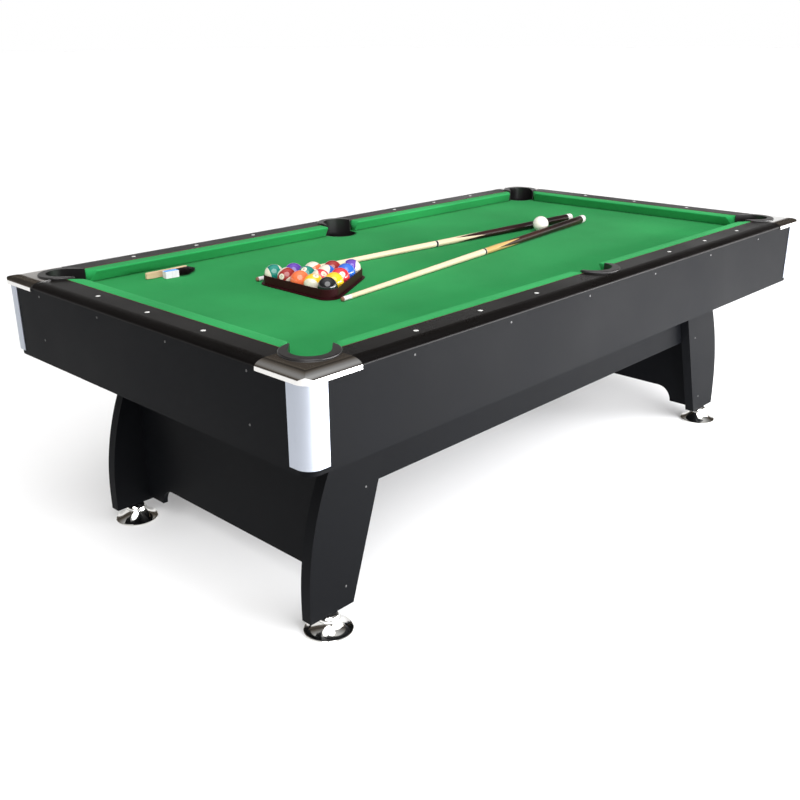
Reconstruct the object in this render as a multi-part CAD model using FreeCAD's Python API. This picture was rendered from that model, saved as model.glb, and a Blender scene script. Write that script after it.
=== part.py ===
"""Eight-foot home pool table with a panel-leg base, drop pockets and an internal ball return.

Frame: millimetres, +Z up, floor at z = 0, origin on the floor under the middle of the table.
+X runs along the table to its ball-return end (right), -Y is the front long side.
Most corner pieces are drawn once at the right rear corner (+X, +Y) and mirrored to the others.
"""
import FreeCAD, Part
import math
import os

V = FreeCAD.Vector

# ---- driving dimensions -------------------------------------------------------------------
rail_length = 2440.0          # outside of the top rails, along X
rail_width = 1322.0           # outside of the top rails, along Y
rail_top = 798.0
rail_edge_drop = 15.0         # height of the rounded outer edge
rail_edge_depth = 34.0        # how far that rounding reaches in from the edge
rail_inner = 94.0             # inset at which wood ends and the cushion begins
rail_step_gap = 0.5           # between the rail's step and the apron's inner face
cushion_nose = 140.0          # inset of the cushion nose
bed_height = 760.0            # top of the bed cloth
cloth_thickness = 1.5
bed_thickness = 22.0

panel_inset = 3.5             # apron faces behind the rail's outer edge
apron_thickness = 18.0
apron_bottom = 581.0
corner_block_size = 60.0
post_proud = 2.0              # wall of the corner post, which stands proud of the aprons
post_radius = 38.0
post_reach = 62.0
floor_thickness = 16.0
floor_inset = 8.5
floor_corner_radius = 32.0

leg_outer_x = 1074.0
leg_outer_y = 472.0
leg_thickness = 34.0
leg_bottom = 54.0
leg_foot_width = 148.0
leg_lean = 0.31               # inner edge, millimetres sideways for each millimetre of height
leg_curve_radius = 800.0
leg_curve_start = 110.0
cross_panel_outer_x = 959.0
board_thickness = 16.0
arch_height = 122.0
arch_foot_height = 66.0
arch_foot_inner_y = 358.0
stretcher_bottom = 352.0

foot_x = 1001.0
foot_radius = 65.5
stud_radius = 6.0
stud_length = 42.0
insert_radius = 10.0
insert_length = 30.0
running_gap = 0.3

corner_pocket_inset = 120.0   # pocket centre from both outside edges
corner_pocket_radius = 48.0
corner_collar_radius = 71.0
corner_horn_reach = 49.0
side_pocket_inset = 115.5
side_pocket_radius = 58.0
side_collar_radius = 75.0
side_collar_inset = 107.0
side_horn_inset = 110.0
side_horn_half_width = 69.0
liner_wall = 4.5
liner_bottom = 722.0
collar_height = 5.0
corner_facing_start = 169.0   # cushion end at the rail, from the corner of the table
corner_facing_nose = 218.0    # cushion end at the nose
side_facing_start = 70.5
side_facing_nose = 76.0

cap_proud = 3.0
cap_top_wall = 1.2
cap_reach = 160.0
cap_lip_bottom = 776.0
cap_corner_radius = 30.0

sight_radius = 6.5
sight_inset = 58.0
sight_pitch = 236.5
screw_radius = 3.2
screw_height = 1.2

gutter_width = 108.0
gutter_wall = 4.0
gutter_wall_height = 40.0
gutter_high = 642.0           # floor of the side gutters at the left end
gutter_low = 612.0            # floor of the side gutters at the right end
gutter_feet = (-1050.0, -400.0, 250.0, 900.0)
gutter_foot_length = 20.0
end_gutter_x = 1044.0
tray_half_width = 170.0
tray_floor = 592.0
window_half_width = 150.0
window_bottom = 602.0
window_top = 692.0
window_corner_radius = 12.0

ball_radius = 28.575
ball_pitch = 58.3
rack_middle = (-591.7, 0.8)
rack_apex_angle = -120.3
rack_height = 28.0
rack_wall = 2.5
rack_flange = 7.5
rack_flange_height = 2.5
cue_length = 1473.0
cue_tip_radius = 6.5
cue_butt_radius = 14.5
cue_tips = ((-682.4, 175.7), (-671.0, -182.0))
cue_butts = ((808.6, 54.7), (780.0, 1.0))
cue_ball_at = (520.0, 11.0)
chalk_size = 22.0
brush_width = 20.0
loose_gap = 0.3               # loose pieces sit this far above the cloth

# ---- sizes that follow from them -----------------------------------------------------------
half_length = rail_length / 2
half_width = rail_width / 2
rail_edge = rail_top - rail_edge_drop
apron_x = half_length - panel_inset
apron_y = half_width - panel_inset
apron_inner_x = apron_x - apron_thickness
apron_inner_y = apron_y - apron_thickness
cabinet_bottom = apron_bottom - floor_thickness
bed_top = bed_height - cloth_thickness
bed_bottom = bed_top - bed_thickness
leg_inner_y = leg_outer_y - leg_thickness
foot_y = leg_outer_y - leg_thickness / 2
loose_height = bed_height + loose_gap
corners = {"front_left": (-1, -1), "front_right": (1, -1), "rear_left": (-1, 1), "rear_right": (1, 1)}
os.makedirs("parts", exist_ok=True)


# ---- shared helpers ------------------------------------------------------------------------
def save(name, shape):
    """Write one sub-part."""
    shape.exportStep("parts/" + name + ".step")


def box(x_low, x_high, y_low, y_high, z_low, z_high):
    return Part.makeBox(x_high - x_low, y_high - y_low, z_high - z_low, V(x_low, y_low, z_low))


def rod(x, y, radius, z_low, z_high):
    """Upright cylinder."""
    return Part.makeCylinder(radius, z_high - z_low, V(x, y, z_low))


def prism(points, z_low, z_high):
    """Upright prism over a plan outline of (x, y) points."""
    corners_3d = [V(x, y, z_low) for x, y in points]
    wire = Part.makePolygon(corners_3d + corners_3d[:1])
    return Part.Face(wire).extrude(V(0, 0, z_high - z_low))


def mirrored(shape, side_x, side_y):
    """Carry a piece drawn at the right rear corner to the corner with these signs."""
    if side_x < 0:
        shape = shape.mirror(V(0, 0, 0), V(1, 0, 0))
    if side_y < 0:
        shape = shape.mirror(V(0, 0, 0), V(0, 1, 0))
    return shape


def fused(shapes):
    """One solid from touching shapes."""
    result = shapes[0]
    for shape in shapes[1:]:
        result = result.fuse(shape)
    return result.removeSplitter()


def softened(shape, radius, is_edge):
    """Round the edges for which is_edge(edge) is true."""
    edges = [edge for edge in shape.Edges if is_edge(edge)]
    return shape.makeFillet(radius, edges)


def on_plane(edge, axis, value):
    """True if the whole edge lies at this coordinate (axis 0, 1 or 2)."""
    return all(abs(vertex.Point[axis] - value) < 1e-4 for vertex in edge.Vertexes)


def rounded_corner_plate(x, y, radius, reach_x, reach_y, z_low, z_high):
    """Plate whose outer corner at (x, y) is rounded, reaching back by the two reaches."""
    plate = box(x - reach_x, x, y - reach_y, y, z_low, z_high)
    return softened(plate, radius, lambda edge: on_plane(edge, 0, x) and on_plane(edge, 1, y))


# ---- cabinet -------------------------------------------------------------------------------
def long_apron(side):
    reach = apron_x - corner_block_size
    y_low, y_high = sorted((side * apron_inner_y, side * apron_y))
    return box(-reach, reach, y_low, y_high, apron_bottom, rail_edge)


def window_plug(x_low, x_high, grow):
    """Block with rounded corners that fills the ball window, larger all round by grow."""
    y = window_half_width + grow
    plug = box(x_low, x_high, -y, y, window_bottom - grow, window_top + grow)
    return softened(plug, window_corner_radius + grow, lambda edge: abs(edge.Length - x_high + x_low) < 1e-4)


def end_apron(side):
    """Short apron. The one at the ball-return end has the ball window."""
    reach = apron_y - corner_block_size
    x_low, x_high = sorted((side * apron_inner_x, side * apron_x))
    panel = box(x_low, x_high, -reach, reach, apron_bottom, rail_edge)
    if side > 0:
        panel = panel.cut(window_plug(x_low - 1, x_high + 1, 0))
    return panel


def corner_blocks():
    """Wooden blocks that join the aprons and back the posts, notched for the bed board."""
    block = rounded_corner_plate(apron_x, apron_y, post_radius - post_proud,
                                 corner_block_size, corner_block_size, apron_bottom, rail_edge)
    notch = box(0, apron_inner_x, 0, apron_inner_y, bed_bottom, rail_edge + 1)
    block = block.cut(notch)
    return Part.makeCompound([mirrored(block, *signs) for signs in corners.values()])


def corner_post(signs):
    """Quarter-round aluminium profile wrapped round the cabinet's corner."""
    x = apron_x + post_proud
    y = apron_y + post_proud
    outer = rounded_corner_plate(x, y, post_radius, post_reach, post_reach, apron_bottom, rail_edge - 1)
    inner = rounded_corner_plate(apron_x, apron_y, post_radius - post_proud,
                                 post_reach, post_reach, apron_bottom - 1, rail_edge)
    return mirrored(outer.cut(inner), *signs)


def cabinet_floor():
    x = half_length - floor_inset
    y = half_width - floor_inset
    board = box(-x, x, -y, y, cabinet_bottom, apron_bottom)
    return softened(board, floor_corner_radius,
                    lambda edge: abs(edge.Length - floor_thickness) < 1e-4)


# ---- pockets -------------------------------------------------------------------------------
def pocket_holes(extra, z_low, z_high):
    """The six round holes that the liners pass through, larger by extra."""
    x = half_length - corner_pocket_inset
    y = half_width - corner_pocket_inset
    holes = [rod(sx * x, sy * y, corner_pocket_radius + extra, z_low, z_high) for sx, sy in corners.values()]
    y = half_width - side_pocket_inset
    holes += [rod(0, side * y, side_pocket_radius + extra, z_low, z_high) for side in (-1, 1)]
    return fused(holes)


def arm_slots(z_low, z_high):
    """Room for the corner liners' straight arms, from each pocket centre towards the bed."""
    half = corner_pocket_radius + liner_wall + running_gap
    slot = box(0, 200, -half, half, z_low, z_high)
    slot.rotate(V(0, 0, 0), V(0, 0, 1), 225)
    slot.translate(V(half_length - corner_pocket_inset, half_width - corner_pocket_inset, 0))
    return Part.makeCompound([mirrored(slot, *signs) for signs in corners.values()])


def corner_liner(signs):
    """Moulded corner pocket: a round throat, a U-shaped wall above the bed and a collar with two horns.

    Drawn about its own centre with +X towards the middle of the table.
    """
    outer = corner_pocket_radius + liner_wall
    collar_top = rail_top + collar_height
    wall_bottom = bed_height + running_gap
    throat = rod(0, 0, outer, liner_bottom, wall_bottom)
    wall = rod(0, 0, outer, wall_bottom, rail_top).fuse(
        box(0, corner_horn_reach, -outer, outer, wall_bottom, rail_top))
    front = box(0, 200, -200, 200, wall_bottom, collar_top + 1)
    arms = box(0, corner_horn_reach, -outer, outer, wall_bottom, collar_top + 1)
    collar = rod(0, 0, corner_collar_radius, rail_top, collar_top)
    collar = collar.cut(box(corner_horn_reach, 200, -200, 200, rail_top - 1, collar_top + 1))
    collar = softened(collar, 3.0, lambda edge: on_plane(edge, 2, collar_top))
    wall = wall.cut(front.cut(arms))
    opening = rod(0, 0, corner_pocket_radius, liner_bottom - 1, collar_top + 1).fuse(
        box(0, 200, -corner_pocket_radius, corner_pocket_radius, wall_bottom, collar_top + 1))
    liner = fused([throat, wall, collar]).cut(opening)
    liner.rotate(V(0, 0, 0), V(0, 0, 1), 225)
    liner.translate(V(half_length - corner_pocket_inset, half_width - corner_pocket_inset, 0))
    return mirrored(liner, *signs)


def side_liner(side):
    """Moulded side pocket with a crescent collar. Drawn on the rear side and mirrored to the front."""
    y = half_width - side_pocket_inset
    outer = side_pocket_radius + liner_wall
    collar_top = rail_top + collar_height
    horn_y = half_width - side_horn_inset
    throat = rod(0, y, outer, liner_bottom, bed_height)
    wall = rod(0, y, outer, bed_height, rail_top).common(
        box(-200, 200, horn_y, 700, bed_height - 1, rail_top + 1))
    collar = rod(0, half_width - side_collar_inset, side_collar_radius, rail_top, collar_top)
    collar = collar.common(box(-200, 200, horn_y, 700, rail_top, collar_top))
    over_cushion = box(-200, 200, 0, half_width - rail_inner, rail_top - 1, collar_top + 1)
    between_cushions = box(-side_horn_half_width, side_horn_half_width, 0, half_width - rail_inner,
                           rail_top - 1, collar_top + 1)
    collar = collar.cut(over_cushion.cut(between_cushions))
    collar = softened(collar, 3.0, lambda edge: on_plane(edge, 2, collar_top))
    opening = rod(0, y, side_pocket_radius, liner_bottom - 1, collar_top + 1)
    liner = fused([throat, wall, collar]).cut(opening)
    return mirrored(liner, 1, side)


# ---- bed -----------------------------------------------------------------------------------
def bed_board():
    x = apron_inner_x - 1
    y = apron_inner_y - 1
    board = box(-x, x, -y, y, bed_bottom, bed_top)
    return board.cut(pocket_holes(liner_wall + running_gap, bed_bottom - 1, bed_top + 1))


def bed_cloth():
    x = apron_inner_x - 3
    y = apron_inner_y - 3
    sheet = box(-x, x, -y, y, bed_top, bed_height)
    return sheet.cut(pocket_holes(liner_wall + running_gap, bed_top - 1, bed_height + 1))


def bed_supports():
    """Four cross beams and the ledges along the aprons that carry the bed board."""
    ledge_depth = 20.0
    ledge_height = 30.0
    beam_width = 40.0
    beam_places = (-780.0, -300.0, 300.0, 780.0)
    reach_x = apron_x - corner_block_size - 5
    reach_y = apron_y - corner_block_size - 5
    inner_y = apron_inner_y - ledge_depth
    inner_x = apron_inner_x - ledge_depth
    low = bed_bottom - ledge_height
    solids = [box(x - beam_width / 2, x + beam_width / 2, -inner_y, inner_y, low, bed_bottom)
              for x in beam_places]
    for side in (-1, 1):
        y_low, y_high = sorted((side * inner_y, side * apron_inner_y))
        solids.append(box(-reach_x, reach_x, y_low, y_high, low, bed_bottom))
        x_low, x_high = sorted((side * inner_x, side * apron_inner_x))
        solids.append(box(x_low, x_high, -reach_y, reach_y, low, bed_bottom))
    return Part.makeCompound(solids)


# ---- rails, cushions and caps --------------------------------------------------------------
def edge_rounding(proud, raised):
    """Quarter ellipse over the rail's outer edge, moved out by proud and up by raised."""
    centre = V(rail_edge_depth, 0, rail_edge)
    ellipse = Part.Ellipse(V(-proud, 0, rail_edge), V(rail_edge_depth, 0, rail_top + raised), centre)
    arc = Part.ArcOfEllipse(ellipse, 0, math.pi / 2)
    if arc.EndPoint.z < rail_edge:
        arc = Part.ArcOfEllipse(ellipse, 3 * math.pi / 2, 2 * math.pi)
    return arc.toShape()


def rail_section():
    """Rail cross-section: (inset, z) outline with an elliptical outer edge and a step over the apron."""
    step = panel_inset + apron_thickness + rail_step_gap
    outline = [V(rail_edge_depth, 0, rail_top), V(rail_inner, 0, rail_top), V(rail_inner, 0, bed_height),
               V(step, 0, bed_height), V(step, 0, rail_edge), V(0, 0, rail_edge)]
    return Part.Face(Part.Wire([edge_rounding(0, 0)] + Part.makePolygon(outline).Edges))


def section_along_x(section, reach):
    """Carry an (inset, z) section to the rear side and extrude it along X by the reach both ways."""
    section = section.copy()
    section.rotate(V(0, 0, 0), V(0, 0, 1), -90)
    section.translate(V(-reach, half_width, 0))
    return section.extrude(V(2 * reach, 0, 0))


def section_along_y(section, reach):
    """The same for the right end, extruded along Y."""
    section = section.copy()
    section.rotate(V(0, 0, 0), V(0, 0, 1), 180)
    section.translate(V(half_length, -reach, 0))
    return section.extrude(V(0, 2 * reach, 0))


def rounded_outline(grow, radius, z_low, z_high):
    """Rectangle of the rails' outer size plus grow, with rounded corners."""
    x = half_length + grow
    y = half_width + grow
    plate = box(-x, x, -y, y, z_low, z_high)
    return softened(plate, radius, lambda edge: abs(edge.Length - z_high + z_low) < 1e-4)


def mitred(shape, along_x):
    """Trim a rail to the trapezium between the two 45-degree corner mitres."""
    depth = rail_inner + 1
    if along_x:
        plan = [(-half_length, half_width), (half_length, half_width),
                (half_length - depth, half_width - depth), (-half_length + depth, half_width - depth)]
    else:
        plan = [(half_length, half_width), (half_length, -half_width),
                (half_length - depth, -half_width + depth), (half_length - depth, half_width - depth)]
    return shape.common(prism(plan, bed_height - 5, rail_top + 5))


def top_rail(along_x, side):
    section = rail_section()
    if along_x:
        rail = section_along_x(section, half_length)
    else:
        rail = section_along_y(section, half_width)
    rail = mitred(rail, along_x)
    rail = rail.common(rounded_outline(0, cap_corner_radius - cap_proud, bed_height - 5, rail_top + 5))
    rail = rail.cut(pocket_holes(liner_wall + running_gap, bed_height - 5, rail_top + 5))
    rail = rail.cut(arm_slots(bed_height - 5, rail_top + 5))
    signs = (1, side) if along_x else (side, 1)
    return mirrored(rail, *signs)


def cushion_section():
    """Cushion cross-section: nose near the top, undercut below it."""
    outline = [V(rail_inner, 0, bed_height + 0.3), V(rail_inner, 0, rail_top - 0.8),
               V(cushion_nose - 6, 0, rail_top - 0.8), V(cushion_nose - 1.5, 0, rail_top - 2),
               V(cushion_nose, 0, rail_top - 4.5), V(cushion_nose - 1.5, 0, rail_top - 8),
               V(cushion_nose - 18, 0, bed_height + 0.3)]
    return Part.Face(Part.makePolygon(outline + outline[:1]))


def facing_inset(start, nose, inset):
    """Distance of the slanted cushion end from its reference line at this inset."""
    return start + (nose - start) * (inset - rail_inner) / (cushion_nose - rail_inner)


def long_cushion(signs):
    low = rail_inner - 1
    high = cushion_nose + 1
    bar = section_along_x(cushion_section(), half_length)
    ends = [(facing_inset(side_facing_start, side_facing_nose, low), half_width - low),
            (half_length - facing_inset(corner_facing_start, corner_facing_nose, low), half_width - low),
            (half_length - facing_inset(corner_facing_start, corner_facing_nose, high), half_width - high),
            (facing_inset(side_facing_start, side_facing_nose, high), half_width - high)]
    return mirrored(bar.common(prism(ends, bed_height - 5, rail_top + 5)), *signs)


def end_cushion(side):
    low = rail_inner - 1
    high = cushion_nose + 1
    bar = section_along_y(cushion_section(), half_width)
    at_low = half_width - facing_inset(corner_facing_start, corner_facing_nose, low)
    at_high = half_width - facing_inset(corner_facing_start, corner_facing_nose, high)
    ends = [(half_length - low, -at_low), (half_length - low, at_low),
            (half_length - high, at_high), (half_length - high, -at_high)]
    return mirrored(bar.common(prism(ends, bed_height - 5, rail_top + 5)), side, 1)


def cap_section():
    """Outer skin of the corner cap: the rail's rounding, made larger, over a straight lip."""
    top = rail_top + cap_top_wall
    outline = [V(rail_edge_depth, 0, top), V(cap_reach, 0, top), V(cap_reach, 0, cap_lip_bottom),
               V(-cap_proud, 0, cap_lip_bottom), V(-cap_proud, 0, rail_edge)]
    return Part.Face(Part.Wire([edge_rounding(cap_proud, cap_top_wall)] + Part.makePolygon(outline).Edges))


def cap_core_section():
    """What the cap fits over: the rail's rounding carried straight down below the lip."""
    outline = [V(rail_edge_depth, 0, rail_top), V(cap_reach + 5, 0, rail_top),
               V(cap_reach + 5, 0, cap_lip_bottom - 5), V(0, 0, cap_lip_bottom - 5), V(0, 0, rail_edge)]
    return Part.Face(Part.Wire([edge_rounding(0, 0)] + Part.makePolygon(outline).Edges))


def corner_cap(signs):
    """Chrome cap over the mitre of two rails, open where the pocket liner comes through."""
    x = half_length
    y = half_width
    skin = section_along_x(cap_section(), x + 10).common(section_along_y(cap_section(), y + 10))
    skin = skin.common(rounded_outline(cap_proud, cap_corner_radius, cap_lip_bottom - 1, rail_top + 5))
    core = section_along_x(cap_core_section(), x + 10).common(section_along_y(cap_core_section(), y + 10))
    core = core.common(rounded_outline(0, cap_corner_radius - cap_proud, cap_lip_bottom - 6, rail_top + 5))
    plan = [(x + 10, y + 10), (x - cap_reach, y + 10), (x - cap_reach, y - rail_inner + 6),
            (x - rail_inner + 6, y - rail_inner + 6), (x - rail_inner + 6, y - cap_reach),
            (x + 10, y - cap_reach)]
    cap = skin.cut(core).common(prism(plan, cap_lip_bottom - 5, rail_top + 5))
    pocket = rod(x - corner_pocket_inset, y - corner_pocket_inset, corner_collar_radius + running_gap,
                 cap_lip_bottom - 5, rail_top + 5)
    return mirrored(cap.cut(pocket), *signs)


def sight_places():
    """Plan places of the 18 sights: three on each end rail and six on each long rail."""
    places = [(sx * (half_length - sight_inset), step * sight_pitch) for sx in (-1, 1) for step in (-1, 0, 1)]
    places += [(sx * sight_pitch * (step + 0.5), sy * (half_width - sight_inset))
               for sx in (-1, 1) for sy in (-1, 1) for step in (1, 2, 3)]
    return places


def rail_sights():
    """White round inlays let into the rail tops."""
    return Part.makeCompound([rod(x, y, sight_radius, rail_top, rail_top + 0.4) for x, y in sight_places()])


# ---- screws --------------------------------------------------------------------------------
def screw_head(x, y, z, nx, ny):
    """Round screw head on a vertical face whose outward normal is (nx, ny)."""
    return Part.makeCylinder(screw_radius, screw_height, V(x, y, z), V(nx, ny, 0))


def panel_screws():
    """Visible screws of the aprons, legs and pocket liners."""
    rail_screw_z = 766.0
    lower_screw_z = 640.0
    long_pitch = 356.0
    end_pitch = 310.0
    leg_screws = ((872.0, 369.0), (951.0, 113.0))
    heads = []
    for side in (-1, 1):
        for step in (-2.5, -1.5, -0.5, 0.5, 1.5, 2.5):
            heads.append(screw_head(step * long_pitch, side * apron_y, rail_screw_z, 0, side))
        for step in (-1.5, -0.5, 0.5, 1.5):
            heads.append(screw_head(side * apron_x, step * end_pitch, rail_screw_z, side, 0))
        for step in (-1.5, 1.5):
            heads.append(screw_head(side * apron_x, step * end_pitch, lower_screw_z, side, 0))
    for sx, sy in corners.values():
        for x, z in leg_screws:
            heads.append(screw_head(sx * x, sy * leg_outer_y, z, 0, sy))
    return Part.makeCompound(heads)


# ---- ball return ---------------------------------------------------------------------------
def side_gutter(side):
    """Open channel on feet under the three pockets of one long side, falling to the right."""
    y = half_width - corner_pocket_inset
    length = end_gutter_x + half_length - corner_pocket_inset + corner_pocket_radius
    inner = gutter_width / 2
    outer = inner + gutter_wall
    channel = box(0, length, y - outer, y + outer, -gutter_wall, gutter_wall_height)
    channel = channel.cut(box(gutter_wall, length + 1, y - inner, y + inner, 0, gutter_wall_height + 1))
    fall = math.degrees(math.atan2(gutter_high - gutter_low, length))
    channel.rotate(V(0, 0, 0), V(0, 1, 0), fall)
    x_start = end_gutter_x - length * math.cos(math.radians(fall)) - 2
    channel.translate(V(x_start, 0, gutter_high))
    for x in gutter_feet:
        foot_top = gutter_high - (x - x_start) * math.tan(math.radians(fall)) - gutter_wall / 2
        foot = box(x, x + gutter_foot_length, y - inner, y + inner, apron_bottom, foot_top)
        channel = channel.fuse(foot)
    return mirrored(channel, 1, side)


def end_gutter(side):
    """Channel across the right end, from below the corner pocket to the tray."""
    y_outer = half_width - corner_pocket_inset + gutter_width / 2
    x_low = end_gutter_x
    x_high = x_low + gutter_width
    floor_high = gutter_low - 6
    floor_low = tray_floor + 3
    under_low = floor_low - gutter_wall
    under_high = floor_high - gutter_wall
    outline = [V(x_low, tray_half_width, floor_low), V(x_low, y_outer, floor_high),
               V(x_low, y_outer, under_high), V(x_low, tray_half_width, under_low)]
    floor = Part.Face(Part.makePolygon(outline + outline[:1])).extrude(V(gutter_width, 0, 0))
    wall_top = floor_high + gutter_wall_height
    outer_wall = box(x_high, x_high + gutter_wall, tray_half_width, y_outer, under_low, wall_top)
    end_wall = box(x_low, x_high + gutter_wall, y_outer, y_outer + gutter_wall, under_high, wall_top)
    inner_wall = box(x_low - gutter_wall, x_low, tray_half_width, y_outer - gutter_width - gutter_wall - 2,
                     under_low, wall_top)
    foot = box(x_low + 10, x_high - 10, y_outer - 60, y_outer - 40, apron_bottom, under_high)
    return mirrored(fused([floor, outer_wall, end_wall, inner_wall, foot]), 1, side)


def ball_gutters():
    solids = [side_gutter(side) for side in (-1, 1)]
    solids += [end_gutter(side) for side in (-1, 1)]
    return Part.makeCompound(solids)


def ball_tray():
    """Shallow tray behind the ball window."""
    x_back = end_gutter_x - gutter_wall
    x_front = apron_inner_x - 0.5
    x_sides = end_gutter_x + gutter_width + gutter_wall
    edge = tray_half_width - 0.5
    floor = box(x_back, x_front, -edge, edge, tray_floor - gutter_wall, tray_floor)
    back = box(x_back - gutter_wall, x_back, -edge, edge, tray_floor - gutter_wall, window_top - 40)
    solids = [floor, back]
    for side in (-1, 1):
        y_foot = side * edge * 0.8
        solids.append(box(x_back, x_front, y_foot - 10, y_foot + 10, apron_bottom, tray_floor - gutter_wall))
        y_low, y_high = sorted((side * edge, side * (edge - gutter_wall)))
        solids.append(box(x_sides, x_front, y_low, y_high, tray_floor - gutter_wall, window_top - 40))
    return fused(solids)


def ball_window_frame():
    """Plastic frame lining the ball window."""
    rim = 12.0
    rim_thickness = 2.5
    lining = 2.5
    outer = window_plug(apron_inner_x, apron_x + rim_thickness, -0.3)
    flange = window_plug(apron_x, apron_x + rim_thickness, rim)
    hole = window_plug(apron_inner_x - 1, apron_x + rim_thickness + 1, -0.3 - lining)
    return outer.fuse(flange).cut(hole)


# ---- base ----------------------------------------------------------------------------------
def leg(signs):
    """Flat leg panel: bowed outer edge, straight slanting inner edge, bore for the leveller."""
    curve_centre_x = leg_outer_x - leg_curve_radius
    rise = cabinet_bottom - leg_curve_start
    half_rise = rise / 2
    curve_x_top = curve_centre_x + math.sqrt(leg_curve_radius ** 2 - rise ** 2)
    curve_x_middle = curve_centre_x + math.sqrt(leg_curve_radius ** 2 - half_rise ** 2)
    inner_bottom = leg_outer_x - leg_foot_width
    inner_top = inner_bottom - leg_lean * (cabinet_bottom - leg_bottom)
    start = V(leg_outer_x, 0, leg_curve_start)
    finish = V(curve_x_top, 0, cabinet_bottom)
    bow = Part.Arc(start, V(curve_x_middle, 0, leg_curve_start + half_rise), finish).toShape()
    rest = Part.makePolygon([finish, V(inner_top, 0, cabinet_bottom), V(inner_bottom, 0, leg_bottom),
                             V(leg_outer_x, 0, leg_bottom), start])
    face = Part.Face(Part.Wire([bow] + rest.Edges))
    face.translate(V(0, leg_inner_y, 0))
    panel = face.extrude(V(0, leg_thickness, 0))
    panel = panel.cut(rod(foot_x, foot_y, insert_radius, leg_bottom - 1, leg_bottom + insert_length))
    panel = panel.cut(rod(foot_x, foot_y, stud_radius + 1, leg_bottom, leg_bottom + stud_length + 8))
    return mirrored(panel, *signs)


def cross_panel(side):
    """Board between two legs at one end, with an arched lower edge between two feet."""
    radius = arch_height - arch_foot_height
    x_low = cross_panel_outer_x - board_thickness
    board = box(x_low, cross_panel_outer_x, -leg_inner_y, leg_inner_y, arch_foot_height, cabinet_bottom)
    straight = arch_foot_inner_y - radius
    arch = box(x_low - 1, cross_panel_outer_x + 1, -straight, straight, arch_foot_height - 1, arch_height)
    for end in (-1, 1):
        arch = arch.fuse(Part.makeCylinder(radius, board_thickness + 2,
                                           V(x_low - 1, end * straight, arch_foot_height), V(1, 0, 0)))
    return mirrored(board.cut(arch), side, 1)


def stretcher(side):
    """Long board behind the legs of one side."""
    reach = cross_panel_outer_x - board_thickness
    y_low, y_high = sorted((side * (leg_inner_y - board_thickness), side * leg_inner_y))
    return box(-reach, reach, y_low, y_high, stretcher_bottom, cabinet_bottom)


def leg_frame_battens():
    """Square battens inside the leg frame that it is screwed to the cabinet floor through."""
    size = 25.0
    low = cabinet_bottom - size
    y_face = leg_inner_y - board_thickness
    x_face = cross_panel_outer_x - board_thickness
    solids = []
    for side in (-1, 1):
        y_low, y_high = sorted((side * (y_face - size), side * y_face))
        solids.append(box(-x_face, x_face, y_low, y_high, low, cabinet_bottom))
        x_low, x_high = sorted((side * (x_face - size), side * x_face))
        solids.append(box(x_low, x_high, -y_face + size, y_face - size, low, cabinet_bottom))
    return Part.makeCompound(solids)


def leveller_inserts():
    """Threaded steel inserts pressed into the legs' lower ends."""
    top = leg_bottom + insert_length
    ring = rod(foot_x, foot_y, insert_radius, leg_bottom, top)
    ring = ring.cut(rod(foot_x, foot_y, stud_radius + running_gap, leg_bottom - 1, top + 1))
    return Part.makeCompound([mirrored(ring, *signs) for signs in corners.values()])


def leveller(signs):
    """Bell-shaped screw foot with its stud."""
    dome_top = leg_bottom - 0.5
    rim_height = 4.5
    waist_radius = 32.0
    waist_height = 35.5
    floor_line = [V(0, 0, 0), V(foot_radius - 1.5, 0, 0), V(foot_radius, 0, 1.5),
                  V(foot_radius, 0, rim_height), V(foot_radius - 2, 0, rim_height + 1.5)]
    flare = Part.Arc(floor_line[-1], V(45, 0, 17), V(waist_radius, 0, waist_height)).toShape()
    bead = Part.Arc(V(waist_radius, 0, waist_height), V(waist_radius + 0.6, 0, waist_height + 1.5),
                    V(waist_radius - 0.5, 0, waist_height + 3)).toShape()
    dome = Part.Arc(V(waist_radius - 0.5, 0, waist_height + 3), V(27, 0, 47.5), V(15, 0, dome_top)).toShape()
    stud_top = leg_bottom + stud_length
    upper = [V(15, 0, dome_top), V(stud_radius, 0, dome_top), V(stud_radius, 0, stud_top - 1.5),
             V(stud_radius - 1.5, 0, stud_top), V(0, 0, stud_top), V(0, 0, 0)]
    edges = Part.makePolygon(floor_line).Edges + [flare, bead, dome] + Part.makePolygon(upper).Edges
    foot = Part.Face(Part.Wire(edges)).revolve(V(0, 0, 0), V(0, 0, 1), 360)
    foot.translate(V(foot_x, foot_y, 0))
    return mirrored(foot, *signs)


# ---- loose playing set ---------------------------------------------------------------------
def ball_at(x, y):
    return Part.makeSphere(ball_radius, V(x, y, loose_height + ball_radius))


def rack_corner(index, distance):
    """Plan point at this distance from the rack's middle towards its apex (0) or another corner."""
    angle = math.radians(rack_apex_angle + 120 * index)
    return rack_middle[0] + distance * math.cos(angle), rack_middle[1] + distance * math.sin(angle)


def racked_balls():
    """Fifteen balls in five rows behind the apex ball."""
    to_corner = 4 * ball_pitch / math.sqrt(3)
    apex_x, apex_y = rack_corner(0, to_corner)
    step_left = math.radians(rack_apex_angle + 150)
    step_right = math.radians(rack_apex_angle + 210)
    balls = []
    for row in range(5):
        for place in range(row + 1):
            left = row - place
            x = apex_x + ball_pitch * (left * math.cos(step_left) + place * math.cos(step_right))
            y = apex_y + ball_pitch * (left * math.sin(step_left) + place * math.sin(step_right))
            balls.append(ball_at(x, y))
    return Part.makeCompound(balls)


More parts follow.
